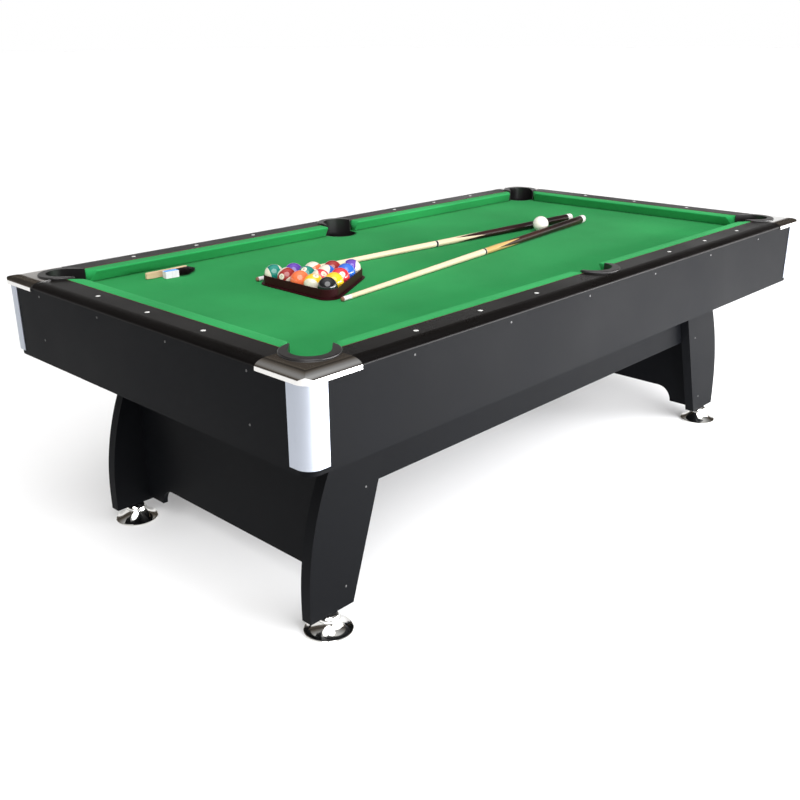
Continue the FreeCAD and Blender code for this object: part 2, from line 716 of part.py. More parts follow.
def rounded_triangle(offset, z_low, z_high):
    """Prism of the triangle through the corner balls' centres, grown by offset."""
    to_corner = 4 * ball_pitch / math.sqrt(3)
    edges = []
    points = []
    for index in range(3):
        x, y = rack_corner(index, to_corner)
        angles = [math.radians(rack_apex_angle + 120 * index + turn) for turn in (-60, 0, 60)]
        points.append([V(x + offset * math.cos(a), y + offset * math.sin(a), z_low) for a in angles])
    for index in range(3):
        edges.append(Part.Arc(*points[index]).toShape())
        edges.append(Part.makeLine(points[index][2], points[(index + 1) % 3][0]))
    return Part.Face(Part.Wire(edges)).extrude(V(0, 0, z_high - z_low))


def triangle_rack():
    """Plastic rack with an outward base flange."""
    inner = ball_radius + 0.5
    outer = inner + rack_wall
    top = loose_height + rack_height
    wall = rounded_triangle(outer, loose_height, top)
    wall = softened(wall, 0.8, lambda edge: on_plane(edge, 2, top))
    flange = rounded_triangle(outer + rack_flange, loose_height, loose_height + rack_flange_height)
    hollow = rounded_triangle(inner, loose_height - 1, top + 1)
    return wall.fuse(flange).cut(hollow)


def cue(index):
    """Tapered cue lying on the cloth."""
    tip_x, tip_y = cue_tips[index]
    butt_x, butt_y = cue_butts[index]
    taper = math.asin((cue_butt_radius - cue_tip_radius) / cue_length)
    cone = Part.makeCone(cue_tip_radius, cue_butt_radius, cue_length, V(0, 0, 0), V(1, 0, 0))
    cone.rotate(V(0, 0, 0), V(0, 1, 0), -math.degrees(taper))
    cone.rotate(V(0, 0, 0), V(0, 0, 1), math.degrees(math.atan2(butt_y - tip_y, butt_x - tip_x)))
    cone.translate(V(tip_x, tip_y, loose_height + cue_tip_radius))
    return cone


def chalk_box():
    """Two chalk cubes side by side as one small block."""
    block = box(0, 44, 0, chalk_size, loose_height, loose_height + chalk_size)
    block.rotate(V(0, 0, 0), V(0, 0, 1), -6)
    block.translate(V(-844, 403, 0))
    return block


def table_brush():
    """Flat wooden brush lying on its side, bristles fanned towards the front and round its right end."""
    handle = box(-889, -741, 437, 449, loose_height, loose_height + brush_width)
    outline = [(-792, 438), (-797, 402), (-792, 392), (-768, 392), (-726, 421), (-708, 446), (-742, 448)]
    fan = prism(outline, loose_height + 1, loose_height + brush_width - 3)
    return handle.fuse(fan).removeSplitter()


# ---- writing -------------------------------------------------------------------------------
def main():
    save("front_apron", long_apron(-1))
    save("rear_apron", long_apron(1))
    save("left_end_apron", end_apron(-1))
    save("right_end_apron", end_apron(1))
    save("corner_blocks", corner_blocks())
    save("cabinet_floor", cabinet_floor())
    save("bed_board", bed_board())
    save("bed_cloth", bed_cloth())
    save("bed_supports", bed_supports())
    save("rail_front", top_rail(True, -1))
    save("rail_rear", top_rail(True, 1))
    save("rail_left", top_rail(False, -1))
    save("rail_right", top_rail(False, 1))
    save("cushion_left", end_cushion(-1))
    save("cushion_right", end_cushion(1))
    save("pocket_liner_front_middle", side_liner(-1))
    save("pocket_liner_rear_middle", side_liner(1))
    for name, signs in corners.items():
        save("corner_post_" + name, corner_post(signs))
        save("corner_cap_" + name, corner_cap(signs))
        save("pocket_liner_" + name, corner_liner(signs))
        save("cushion_" + name, long_cushion(signs))
        save("leg_" + name, leg(signs))
        save("leveller_" + name, leveller(signs))
    save("rail_sights", rail_sights())
    save("panel_screws", panel_screws())
    save("ball_gutters", ball_gutters())
    save("ball_tray", ball_tray())
    save("ball_window_frame", ball_window_frame())
    save("cross_panel_left", cross_panel(-1))
    save("cross_panel_right", cross_panel(1))
    save("stretcher_front", stretcher(-1))
    save("stretcher_rear", stretcher(1))
    save("leg_frame_battens", leg_frame_battens())
    save("leveller_inserts", leveller_inserts())
    save("racked_balls", racked_balls())
    save("cue_ball", ball_at(*cue_ball_at))
    save("triangle_rack", triangle_rack())
    save("cue_rear", cue(0))
    save("cue_front", cue(1))
    save("chalk_box", chalk_box())
    save("table_brush", table_brush())


main()
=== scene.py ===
"""Looks for the pool table: materials, cloth, cushions, balls, cues and small fittings."""
import math
import random

import bmesh
import bpy
from mathutils import Matrix, Vector, noise


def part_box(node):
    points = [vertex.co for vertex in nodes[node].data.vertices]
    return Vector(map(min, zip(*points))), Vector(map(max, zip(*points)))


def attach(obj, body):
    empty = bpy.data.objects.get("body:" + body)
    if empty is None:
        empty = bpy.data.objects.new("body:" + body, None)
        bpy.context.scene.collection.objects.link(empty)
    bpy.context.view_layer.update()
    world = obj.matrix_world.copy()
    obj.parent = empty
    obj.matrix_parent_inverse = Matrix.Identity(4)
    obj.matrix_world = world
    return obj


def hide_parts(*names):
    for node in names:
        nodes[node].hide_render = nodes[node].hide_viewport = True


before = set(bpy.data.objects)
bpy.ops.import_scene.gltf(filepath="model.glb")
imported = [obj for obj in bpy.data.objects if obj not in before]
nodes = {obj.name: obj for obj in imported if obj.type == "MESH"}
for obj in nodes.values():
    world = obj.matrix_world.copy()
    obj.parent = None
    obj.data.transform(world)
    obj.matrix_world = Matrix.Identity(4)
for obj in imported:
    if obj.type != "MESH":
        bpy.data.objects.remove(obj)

random.seed(8)
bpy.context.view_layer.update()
scene = bpy.context.scene
MM = 0.001
CORNERS = {"front_left": (-1, -1), "front_right": (1, -1), "rear_left": (-1, 1), "rear_right": (1, 1)}


# ---- camera ---------------------------------------------------------------------------------
def camera_axes():
    """Right, up and forward directions of the camera, from its heading, pitch and roll."""
    heading, pitch, roll = 0.80736, 0.36290, -0.00641
    forward = Vector((math.sin(heading) * math.cos(pitch), math.cos(heading) * math.cos(pitch),
                      -math.sin(pitch)))
    level = Vector((math.cos(heading), -math.sin(heading), 0))
    upright = level.cross(forward)
    right = math.cos(roll) * level + math.sin(roll) * upright
    up = -math.sin(roll) * level + math.cos(roll) * upright
    return right, up, forward


def make_camera():
    right, up, forward = camera_axes()
    data = bpy.data.cameras.new("view")
    data.sensor_width = 36
    data.lens = 42.685
    data.shift_x = 0.0013
    data.shift_y = 0.00054
    camera = bpy.data.objects.new("view", data)
    rotation = Matrix((right, up, -forward)).transposed().to_4x4()
    camera.matrix_world = Matrix.Translation((-2.3842, -2.0365, 1.4280)) @ rotation
    scene.collection.objects.link(camera)
    scene.camera = camera


# ---- material helpers -----------------------------------------------------------------------
class Surface:
    """A procedural material under construction; colours are linear RGB."""

    def __init__(self, name, color, roughness, metallic=0.0, specular=0.5):
        self.material = bpy.data.materials.new(name)
        self.material.use_nodes = True
        self.tree = self.material.node_tree
        self.shader = self.tree.nodes["Principled BSDF"]
        self.color = color
        self.shader.inputs["Base Color"].default_value = (*color, 1)
        self.shader.inputs["Roughness"].default_value = roughness
        self.shader.inputs["Metallic"].default_value = metallic
        self.shader.inputs["Specular IOR Level"].default_value = specular
        self.place = self.node("ShaderNodeTexCoord").outputs["Object"]
        self.normal = None

    def node(self, kind, **settings):
        made = self.tree.nodes.new(kind)
        for key, value in settings.items():
            if hasattr(made, key):
                setattr(made, key, value)
            else:
                made.inputs[key.replace("_", " ")].default_value = value
        return made

    def link(self, output, target):
        self.tree.links.new(output, target)

    def stretched(self, scale):
        """Object coordinates scaled per axis."""
        mapping = self.node("ShaderNodeMapping")
        mapping.inputs["Scale"].default_value = scale
        self.link(self.place, mapping.inputs["Vector"])
        return mapping.outputs["Vector"]

    def noise(self, scale, detail=3.0, stretch=None):
        texture = self.node("ShaderNodeTexNoise", Scale=scale, Detail=detail)
        self.link(self.stretched(stretch) if stretch else self.place, texture.inputs["Vector"])
        return texture.outputs["Fac"]

    def range(self, value, low, high, out_low, out_high):
        node = self.node("ShaderNodeMapRange")
        node.inputs["From Min"].default_value = low
        node.inputs["From Max"].default_value = high
        node.inputs["To Min"].default_value = out_low
        node.inputs["To Max"].default_value = out_high
        self.link(value, node.inputs["Value"])
        return node.outputs["Result"]

    def mix(self, factor, first, second):
        node = self.node("ShaderNodeMix", data_type="RGBA")
        for socket, value in ((node.inputs[0], factor), (node.inputs[6], first), (node.inputs[7], second)):
            if isinstance(value, bpy.types.NodeSocket):
                self.link(value, socket)
            else:
                socket.default_value = (*value, 1) if hasattr(value, "__len__") else value
        return node.outputs[2]

    def colored(self, output):
        self.link(output, self.shader.inputs["Base Color"])
        return self

    def varied(self, factor, other):
        """Base colour drifts towards another colour where factor is high."""
        return self.colored(self.mix(factor, self.color, other))

    def rough(self, output):
        self.link(output, self.shader.inputs["Roughness"])
        return self

    def bumped(self, height, distance, strength=1.0):
        bump = self.node("ShaderNodeBump", Strength=strength, Distance=distance)
        self.link(height, bump.inputs["Height"])
        if self.normal is not None:
            self.link(self.normal, bump.inputs["Normal"])
        self.normal = bump.outputs["Normal"]
        self.link(self.normal, self.shader.inputs["Normal"])
        return self

    def coated(self, weight, roughness):
        self.shader.inputs["Coat Weight"].default_value = weight
        self.shader.inputs["Coat Roughness"].default_value = roughness
        return self


def laminate(name, color, roughness, specular):
    """Black melamine-faced board: fine pores along the board and faint smudges."""
    made = Surface(name, color, roughness, specular=specular)
    pores = made.noise(900, 4, (0.06, 1, 1))
    smudge = made.noise(3.2, 5)
    made.varied(made.range(smudge, 0.45, 0.75, 0, 0.5), tuple(c * 1.7 for c in color))
    made.rough(made.range(smudge, 0.3, 0.7, roughness - 0.05, roughness + 0.07))
    return made.bumped(pores, 0.00012, 0.5)


def cloth(name, color):
    """Napped woven billiard cloth."""
    made = Surface(name, color, 0.95, specular=0.06)
    fuzz = made.noise(1400, 3)
    drift = made.noise(2.1, 5)
    weave = made.node("ShaderNodeTexWave", wave_type="BANDS", bands_direction="X")
    weave.inputs["Scale"].default_value = 520
    weave.inputs["Distortion"].default_value = 1.5
    made.link(made.place, weave.inputs["Vector"])
    cross = made.node("ShaderNodeTexWave", wave_type="BANDS", bands_direction="Y")
    cross.inputs["Scale"].default_value = 520
    cross.inputs["Distortion"].default_value = 1.5
    made.link(made.place, cross.inputs["Vector"])
    lighter = tuple(c * 1.22 + 0.004 for c in color)
    darker = tuple(c * 0.8 for c in color)
    worn = made.mix(made.range(drift, 0.35, 0.68, 0, 1), darker, lighter)
    specks = made.mix(made.range(fuzz, 0.3, 0.72, 0, 0.5), worn, lighter)
    made.colored(specks)
    made.bumped(weave.outputs["Fac"], 0.00012, 0.35)
    made.bumped(cross.outputs["Fac"], 0.00012, 0.35)
    made.bumped(fuzz, 0.0003, 0.5)
    made.shader.inputs["Sheen Weight"].default_value = 0.10
    made.shader.inputs["Sheen Roughness"].default_value = 0.5
    made.shader.inputs["Sheen Tint"].default_value = (0.5, 1, 0.6, 1)
    return made


def metal(name, color, roughness, grain=None, grain_depth=0.00003):
    made = Surface(name, color, roughness, metallic=1.0)
    smudge = made.noise(14, 4)
    made.rough(made.range(smudge, 0.35, 0.75, roughness, roughness + 0.06))
    if grain:
        made.bumped(made.noise(700, 3, grain), grain_depth, 0.6)
    return made


def moulded(name, color, roughness, specular=0.5):
    """Injection-moulded plastic with a fine surface texture."""
    made = Surface(name, color, roughness, specular=specular)
    made.bumped(made.noise(1500, 2), 0.00008, 0.5)
    worn = made.noise(22, 4)
    made.varied(made.range(worn, 0.5, 0.8, 0, 0.35), tuple(c * 1.5 + 0.004 for c in color))
    return made


def timber(name, light, dark, roughness, stretch, scale=60):
    """Straight-grained wood; stretch is small along the grain."""
    made = Surface(name, light, roughness)
    rings = made.noise(scale, 6, stretch)
    pores = made.noise(scale * 12, 4, stretch)
    grain = made.mix(made.range(rings, 0.35, 0.68, 0, 1), light, dark)
    grain = made.mix(made.range(pores, 0.52, 0.75, 0, 0.4), grain, dark)
    made.colored(grain)
    return made.bumped(pores, 0.0001, 0.4)


def resin(name, color):
    """Polished phenolic resin, as on pool balls."""
    made = Surface(name, color, 0.08)
    cloud = made.noise(60, 3)
    made.varied(made.range(cloud, 0.4, 0.8, 0, 0.25), tuple(min(1, c * 1.2 + 0.01) for c in color))
    made.rough(made.range(made.noise(300, 3), 0.4, 0.8, 0.07, 0.16))
    return made.coated(0.4, 0.05)


BLACK_BOARD = laminate("black_laminate", (0.0036, 0.0039, 0.0047), 0.44, 0.035).material
RAIL_BOARD = laminate("rail_laminate", (0.0026, 0.0022, 0.0022), 0.30, 0.10).material
CLOTH = cloth("green_cloth", (0.014, 0.238, 0.060)).material
CUSHION_CLOTH = cloth("cushion_cloth", (0.021, 0.300, 0.080)).material
CHROME = metal("mirror_chrome", (0.80, 0.79, 0.77), 0.07).material
FOOT_CHROME = metal("foot_chrome", (0.78, 0.77, 0.74), 0.09, (1, 1, 1), 0.00001).material
ALUMINIUM = metal("satin_aluminium", (0.42, 0.45, 0.51), 0.36, (1, 1, 0.02)).material
STEEL = metal("zinc_steel", (0.55, 0.55, 0.57), 0.3, (1, 1, 1)).material
BLACK_STEEL = metal("blackened_screw", (0.10, 0.10, 0.10), 0.38, (1, 1, 1)).material
POCKET = moulded("pocket_plastic", (0.009, 0.008, 0.0085), 0.3).material
DARK_PLASTIC = moulded("gutter_plastic", (0.03, 0.03, 0.033), 0.5).material
RACK_PLASTIC = moulded("rack_plastic", (0.028, 0.0042, 0.0062), 0.40, specular=0.12).material
INNER_WOOD = timber("inner_wood", (0.42, 0.30, 0.18), (0.25, 0.16, 0.09), 0.7, (0.06, 1, 1)).material
SIGHT = moulded("sight_plastic", (0.80, 0.80, 0.78), 0.25).material
TRIM_RED = moulded("feather_strip", (0.075, 0.006, 0.010), 0.4).material


# ---- mesh helpers ---------------------------------------------------------------------------
def new_object(name, mesh_or_bmesh, materials, smooth=True):
    if isinstance(mesh_or_bmesh, bmesh.types.BMesh):
        mesh = bpy.data.meshes.new(name)
        mesh_or_bmesh.to_mesh(mesh)
        mesh_or_bmesh.free()
    else:
        mesh = mesh_or_bmesh
    for material in materials:
        mesh.materials.append(material)
    if smooth:
        mesh.shade_smooth()
    made = bpy.data.objects.new(name, mesh)
    scene.collection.objects.link(made)
    return made


def bevelled(made, width, segments=2, angle=35):
    """Soft edges with clean shading."""
    modifier = made.modifiers.new("soft_edges", "BEVEL")
    modifier.width = width
    modifier.segments = segments
    modifier.limit_method = "ANGLE"
    modifier.angle_limit = math.radians(angle)
    modifier.harden_normals = True
    modifier.use_clamp_overlap = True
    return made


def lathe(profile, turns):
    """Surface of revolution about Z of (radius, height, material index) points."""
    made = bmesh.new()
    rings = []
    for radius, height, index in profile:
        if radius < 1e-6:
            rings.append([made.verts.new((0, 0, height))])
            continue
        angles = [2 * math.pi * k / turns for k in range(turns)]
        rings.append([made.verts.new((radius * math.cos(a), radius * math.sin(a), height)) for a in angles])
    for number, (lower, upper) in enumerate(zip(rings, rings[1:])):
        for k in range(turns):
            following = (k + 1) % turns
            if len(lower) == 1 and len(upper) == 1:
                continue
            if len(lower) == 1:
                face = made.faces.new((lower[0], upper[following], upper[k]))
            elif len(upper) == 1:
                face = made.faces.new((lower[k], lower[following], upper[0]))
            else:
                face = made.faces.new((lower[k], lower[following], upper[following], upper[k]))
            face.material_index = profile[number + 1][2]
    bmesh.ops.recalc_face_normals(made, faces=made.faces)
    return made


def gather(group, piece):
    """Adds a piece's faces to a group and frees the piece."""
    mesh = bpy.data.meshes.new("piece")
    piece.to_mesh(mesh)
    piece.free()
    group.from_mesh(mesh)
    bpy.data.meshes.remove(mesh)


# ---- carried-over CAD nodes -----------------------------------------------------------------
def finish_nodes():
    """Gives each shown CAD node its material, and a fine bevel where it is a board or moulding."""
    looks = {
        "front_apron": (BLACK_BOARD, 0.6), "rear_apron": (BLACK_BOARD, 0.6),
        "left_end_apron": (BLACK_BOARD, 0.6), "right_end_apron": (BLACK_BOARD, 0.6),
        "corner_blocks": (INNER_WOOD, 0), "cabinet_floor": (BLACK_BOARD, 0.8), "bed_board": (INNER_WOOD, 0),
        "bed_supports": (INNER_WOOD, 0.8), "cross_panel_left": (BLACK_BOARD, 0.6),
        "cross_panel_right": (BLACK_BOARD, 0.6), "stretcher_front": (BLACK_BOARD, 0.6),
        "stretcher_rear": (BLACK_BOARD, 0.6), "leg_frame_battens": (INNER_WOOD, 0.8),
        "leveller_inserts": (STEEL, 0), "ball_gutters": (DARK_PLASTIC, 0.8), "ball_tray": (DARK_PLASTIC, 0.8),
        "ball_window_frame": (POCKET, 0.8), "triangle_rack": (RACK_PLASTIC, 0.8),
        "pocket_liner_front_middle": (POCKET, 0.8), "pocket_liner_rear_middle": (POCKET, 0.8),
    }
    for side in ("front", "rear", "left", "right"):
        looks["rail_" + side] = (RAIL_BOARD, 0.5)
    for corner in CORNERS:
        looks["leg_" + corner] = (BLACK_BOARD, 0.8)
        looks["corner_post_" + corner] = (ALUMINIUM, 0.4)
        looks["corner_cap_" + corner] = (CHROME, 0)
        looks["pocket_liner_" + corner] = (POCKET, 0.8)
        looks["leveller_" + corner] = (FOOT_CHROME, 0)
    for name, (material, edge) in looks.items():
        node = nodes[name]
        node.data.materials.clear()
        node.data.materials.append(material)
        if edge:
            bevelled(node, edge * MM)


# ---- cloth ----------------------------------------------------------------------------------
def liner_centre(name):
    """Middle of a pocket's round throat, from the lowest points of its liner."""
    points = [v.co for v in nodes[name].data.vertices]
    lowest = min(p.z for p in points)
    ring = [p for p in points if p.z < lowest + 1e-5]
    xs = [p.x for p in ring]
    ys = [p.y for p in ring]
    radius = (max(xs) - min(xs)) / 2
    return (max(xs) + min(xs)) / 2, (max(ys) + min(ys)) / 2, radius


def make_bed_cloth():
    """Stretched sheet over the bed board, cut round the pockets."""
    low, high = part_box("bed_cloth")
    liners = ["pocket_liner_" + place for place in (*CORNERS, "front_middle", "rear_middle")]
    holes = [(x, y, r + 0.0004) for x, y, r in map(liner_centre, liners)]
    step = 0.0085
    count_x = round((high[0] - low[0]) / step)
    count_y = round((high[1] - low[1]) / step)
    sheet = bmesh.new()
    grid = {}
    for i in range(count_x + 1):
        for j in range(count_y + 1):
            x = low[0] + (high[0] - low[0]) * i / count_x
            y = low[1] + (high[1] - low[1]) * j / count_y
            near = min(math.hypot(x - cx, y - cy) - r for cx, cy, r in holes)
            if near < -0.75 * step:
                continue
            for cx, cy, r in holes:
                distance = math.hypot(x - cx, y - cy)
                if distance < r + 0.55 * step:
                    x = cx + (x - cx) * r / distance
                    y = cy + (y - cy) * r / distance
            ripple = noise.noise(Vector((x * 3.1, y * 3.1, 0))) + 0.5 * noise.noise(Vector((x * 9, y * 9, 4)))
            z = high[2] - 0.00022 + 0.00014 * ripple
            grid[i, j] = sheet.verts.new((x, y, z))
    for i in range(count_x):
        for j in range(count_y):
            corner_verts = [grid.get(key) for key in ((i, j), (i + 1, j), (i + 1, j + 1), (i, j + 1))]
            if all(corner_verts):
                sheet.faces.new(corner_verts)
    thin = [f for f in sheet.faces if f.calc_area() < 1e-9]
    bmesh.ops.delete(sheet, geom=thin, context="FACES")
    cloth_sheet = new_object("bed_cloth_sheet", sheet, [CLOTH])
    thickness = cloth_sheet.modifiers.new("cloth", "SOLIDIFY")
    thickness.thickness = 0.0012
    thickness.offset = -1
    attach(cloth_sheet, "table")
    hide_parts("bed_cloth")


# inset from the table's outer edge and height, both in millimetres
CUSHION_PROFILE = [(94, 760.4), (94, 796.6), (94.6, 797.1), (104, 797.2), (118, 797.1), (128, 796.9),
                   (134, 796.6), (137, 796.0), (139, 795.0), (139.9, 793.6), (139.6, 792.0), (138.2, 789.8),
                   (135.6, 785.6), (131.8, 779.0), (127.4, 771.0), (123.6, 763.8), (122.0, 760.7),
                   (120, 760.4)]
CUSHION_BACK = 94
CUSHION_DEPTH = 0.046


def make_cushion(name):
    """Cloth-covered rubber cushion: the CAD bar's plan with a round nose, taut cover and pulled-in ends."""
    low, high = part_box(name)
    along = 0 if high[0] - low[0] > high[1] - low[1] else 1
    across = 1 - along
    outward = 1 if low[across] + high[across] > 0 else -1
    back = max(abs(low[across]), abs(high[across]))
    points = [v.co for v in nodes[name].data.vertices]
    at_back = [p[along] for p in points if abs(abs(p[across]) - back) < 2e-4]
    nose = back - CUSHION_DEPTH
    at_nose = [p[along] for p in points if abs(abs(p[across]) - nose) < 2e-4]
    start_back, end_back = min(at_back), max(at_back)
    start_nose, end_nose = min(at_nose), max(at_nose)
    count = max(8, round((end_back - start_back) / 0.02))
    body = bmesh.new()
    loops = []
    ends = [0, 0.0012, 0.004]
    length = end_back - start_back
    stations = [e / length for e in ends] + [k / count for k in range(1, count)]
    stations += [1 - e / length for e in ends[::-1]]
    for share in stations:
        from_end = min(share, 1 - share) * length
        tuck = 0.0012 * max(0, 1 - from_end / 0.004) ** 2
        loop = []
        for inset, height in CUSHION_PROFILE:
            depth = (inset - CUSHION_BACK) * MM
            start = start_back + (start_nose - start_back) * depth / CUSHION_DEPTH
            end = end_back + (end_nose - end_back) * depth / CUSHION_DEPTH
            middle_depth, middle_height = 0.024, 0.780
            shrink_depth = tuck * (1 if depth > middle_depth else -1) if depth > 0.001 else 0
            shrink_height = tuck * (1 if height * MM > middle_height else -1)
            position = [0, 0, 0]
            position[along] = start + (end - start) * share
            wave = 0.00012 * noise.noise(Vector((position[along] * 14, back * 5, height * 0.05)))
            position[across] = outward * (back - depth + shrink_depth + abs(wave))
            position[2] = height * MM - max(shrink_height, 0) - abs(wave)
            if shrink_height < 0 and height < 762:
                position[2] = height * MM
            loop.append(body.verts.new(position))
        loops.append(loop)
    size = len(CUSHION_PROFILE)
    for first, second in zip(loops, loops[1:]):
        for k in range(size):
            body.faces.new((first[k], first[(k + 1) % size], second[(k + 1) % size], second[k]))
    body.faces.new(loops[0])
    body.faces.new(loops[-1])
    bmesh.ops.recalc_face_normals(body, faces=body.faces)
    cover = new_object("cover_" + name, body, [CUSHION_CLOTH])
    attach(cover, "table")
    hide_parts(name)
    make_feather_strip(name[8:], along, outward, back, start_back, end_back)


def make_feather_strip(place_name, along, outward, back, start_back, end_back):
    """Thin red strip over the joint between a rail and its cushion."""
    across = 1 - along
    strip = bmesh.new()
    rail_top = max(v.co.z for v in nodes["rail_front"].data.vertices)
    inner, outer = back - 0.0014, back + 0.0012
    for height in (rail_top - 0.001, rail_top + 0.0002):
        for side in (inner, outer):
            for place in (start_back + 0.002, end_back - 0.002):
                position = [0, 0, height]
                position[along] = place
                position[across] = outward * side
                strip.verts.new(position)
    bmesh.ops.convex_hull(strip, input=strip.verts)
    feather = bevelled(new_object("feather_strip_" + place_name, strip, [TRIM_RED], smooth=False), 0.0003)
    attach(feather, "table")


# ---- balls ----------------------------------------------------------------------------------
BALL_COLORS = {1: (0.86, 0.52, 0.02), 2: (0.03, 0.13, 0.58), 3: (0.66, 0.03, 0.045), 4: (0.115, 0.045, 0.36),
               5: (0.86, 0.17, 0.06), 6: (0.01, 0.22, 0.17), 7: (0.31, 0.022, 0.02), 8: (0.012, 0.012, 0.014)}
IVORY = resin("ball_ivory", (0.74, 0.69, 0.56)).material
CUE_BALL_WHITE = resin("cue_ball_white", (0.82, 0.79, 0.70)).material
DIGIT_INK = resin("digit_ink", (0.012, 0.012, 0.012)).material
BALL_SHELL = 0.02847
BADGE_RADIUS = 0.0088
BALL_MATERIALS = {number: resin("ball_color_%d" % number, color).material
                  for number, color in BALL_COLORS.items()}
# number, stripe axis and number direction for each racked ball, in the camera's right, up, back directions
RACK_ORDER = [
    [(8, (0, 1, 0), (0.3, -0.9, 0.2))],
    [(1, (0, 1, 0), (0.9, 0.1, -0.3)), (9, (-0.4, -0.8, 0.45), (0.29, 0.71, 0.64))],
    [(3, (0, 1, 0), (0.32, 0.20, 0.93)), (11, (-0.75, 0.2, 0.6), (0.46, 0.42, 0.78)),
     (5, (0, 1, 0), (-0.5, 0.3, -0.8))],
    [(2, (0, 1, 0), (0.8, 0.2, -0.5)), (10, (-0.5, 0.4, 0.75), (0.8, 0.0, 0.55)),
     (6, (0, 1, 0), (-0.21, 0.56, 0.80)), (15, (-0.75, 0.6, 0.25), (-0.44, -0.06, 0.89))],
    [(12, (1, 0.1, 0.1), (0.0, 1, 0.05)), (7, (0, 1, 0), (0.3, -0.6, 0.7)),
     (13, (-0.35, 0.9, 0.25), (0.2, -0.2, 0.9)), (4, (0, 1, 0), (0, -0.7, 0.7)),
     (14, (0.87, 0.05, 0.5), (-0.4, 0.2, -0.9))],
]


def ball_shell(radius, number):
    """Sphere about the stripe axis Z with its bands split exactly at their edges."""
    edge = math.asin(0.54)
    latitudes = [-math.pi / 2 + math.pi / 40 * k for k in range(41)]
    latitudes = sorted([a for a in latitudes if abs(abs(a) - edge) > 0.03] + [-edge, edge])
    profile = []
    previous = latitudes[0]
    for latitude in latitudes:
        middle = (latitude + previous) / 2
        band = 0 if number <= 8 or abs(middle) < edge else 1
        profile.append((radius * math.cos(latitude), radius * math.sin(latitude), band))
        previous = latitude
    profile[0] = (0, -radius, profile[0][2])
    profile[-1] = (0, radius, profile[-1][2])
    return lathe(profile, 64)


def on_sphere(x, y, radius):
    """Wraps the plane point (x, y) onto a sphere round the +X pole."""
    reach = math.hypot(x, y)
    if reach < 1e-9:
        return Vector((radius, 0, 0))
    angle = reach / radius
    return Vector((radius * math.cos(angle), radius * math.sin(angle) * x / reach,
                   radius * math.sin(angle) * y / reach))


def add_badge(shell, radius):
    """White number disc."""
    rings = [[shell.verts.new(on_sphere(0, 0, radius))]]
    angles = [a * math.pi / 16 for a in range(32)]
    for k in range(1, 6):
        size = BADGE_RADIUS * k / 5
        rings.append([shell.verts.new(on_sphere(size * math.cos(a), size * math.sin(a), radius))
                      for a in angles])
    for inner, outer in zip(rings, rings[1:]):
        for a in range(32):
            b = (a + 1) % 32
            if len(inner) == 1:
                corners = (inner[0], outer[a], outer[b])
            else:
                corners = (inner[a], outer[a], outer[b], inner[b])
            shell.faces.new(corners).material_index = 1


def add_digits(shell, radius, number):
    """Digits cut into small faces and wrapped onto the ball."""
    curve = bpy.data.curves.new("digits", "FONT")
    curve.body = str(number)
    curve.size = 0.0105 if number < 10 else 0.0088
    curve.align_x = "CENTER"
    curve.align_y = "CENTER"
    text = bpy.data.objects.new("digits", curve)
    scene.collection.objects.link(text)
    mesh = bpy.data.meshes.new_from_object(text.evaluated_get(bpy.context.evaluated_depsgraph_get()))
    bpy.data.objects.remove(text)
    flat = bmesh.new()
    flat.from_mesh(mesh)
    bpy.data.meshes.remove(mesh)
    for axis in (0, 1):
        for k in range(-7, 8):
            spot = [0, 0, 0]
            spot[axis] = k * 0.001
            direction = [0, 0, 0]
            direction[axis] = 1
            bmesh.ops.bisect_plane(flat, geom=flat.verts[:] + flat.edges[:] + flat.faces[:], plane_co=spot,
                                   plane_no=direction)
    copies = {v: shell.verts.new(on_sphere(v.co.x, v.co.y, radius)) for v in flat.verts}
    for face in flat.faces:
        shell.faces.new([copies[v] for v in face.verts]).material_index = 2
    flat.free()


def make_ball(number, centre, stripe_axis, number_direction):
    """Numbered ball turned so that its stripe axis and its number face the given ways."""
    right, up, forward = camera_axes()
    view = lambda v: (v[0] * right + v[1] * up - v[2] * forward).normalized()
    shell = ball_shell(BALL_SHELL, number)
    add_badge(shell, BALL_SHELL + 0.00006)
    add_digits(shell, BALL_SHELL + 0.00009, number)
    color = BALL_MATERIALS[number if number <= 8 else number - 8]
    x_axis = view(number_direction)
    z_axis = view(stripe_axis)
    z_axis = (z_axis - x_axis * z_axis.dot(x_axis)).normalized()
    y_axis = z_axis.cross(x_axis)
    turn = Matrix((x_axis, y_axis, z_axis)).transposed().to_4x4()
    shell.transform(Matrix.Translation(centre) @ turn)
    ball = new_object("ball_%d" % number, shell, [color, IVORY, DIGIT_INK])
    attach(ball, "racked_balls")
    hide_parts("racked_balls")


def make_balls():
    """The racked balls in their rows, placed from the group's box, and the cue ball."""
    low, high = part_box("racked_balls")
    radius = (high[2] - low[2]) / 2
    height = (high[2] + low[2]) / 2
    apex_y = low[1] + radius
    left = Vector((low[0] + radius, high[1] - radius, height))
    row_left = math.radians(89.7)
    row_right = math.radians(29.7)
    side = (left.y - apex_y) / math.sin(row_left)
    apex = left - side * Vector((math.cos(row_left), math.sin(row_left), 0))
    pitch = side / 4
    for row, balls in enumerate(RACK_ORDER):
        for place, (number, stripe_axis, number_direction) in enumerate(balls):
            step = Vector((math.cos(row_left), math.sin(row_left), 0)) * pitch * place
            step += Vector((math.cos(row_right), math.sin(row_right), 0)) * pitch * (row - place)
            make_ball(number, apex + step, stripe_axis, number_direction)
    low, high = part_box("cue_ball")
    shell = lathe([(0.02855 * math.cos(a), 0.02855 * math.sin(a), 0)
                   for a in [math.pi * (k / 48 - 0.5) for k in range(49)]], 64)
    ball = new_object("cue_ball_shell", shell, [CUE_BALL_WHITE])
    ball.matrix_world = Matrix.Translation([(a + b) / 2 for a, b in zip(low, high)])
    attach(ball, "cue_ball")
    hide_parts("cue_ball")


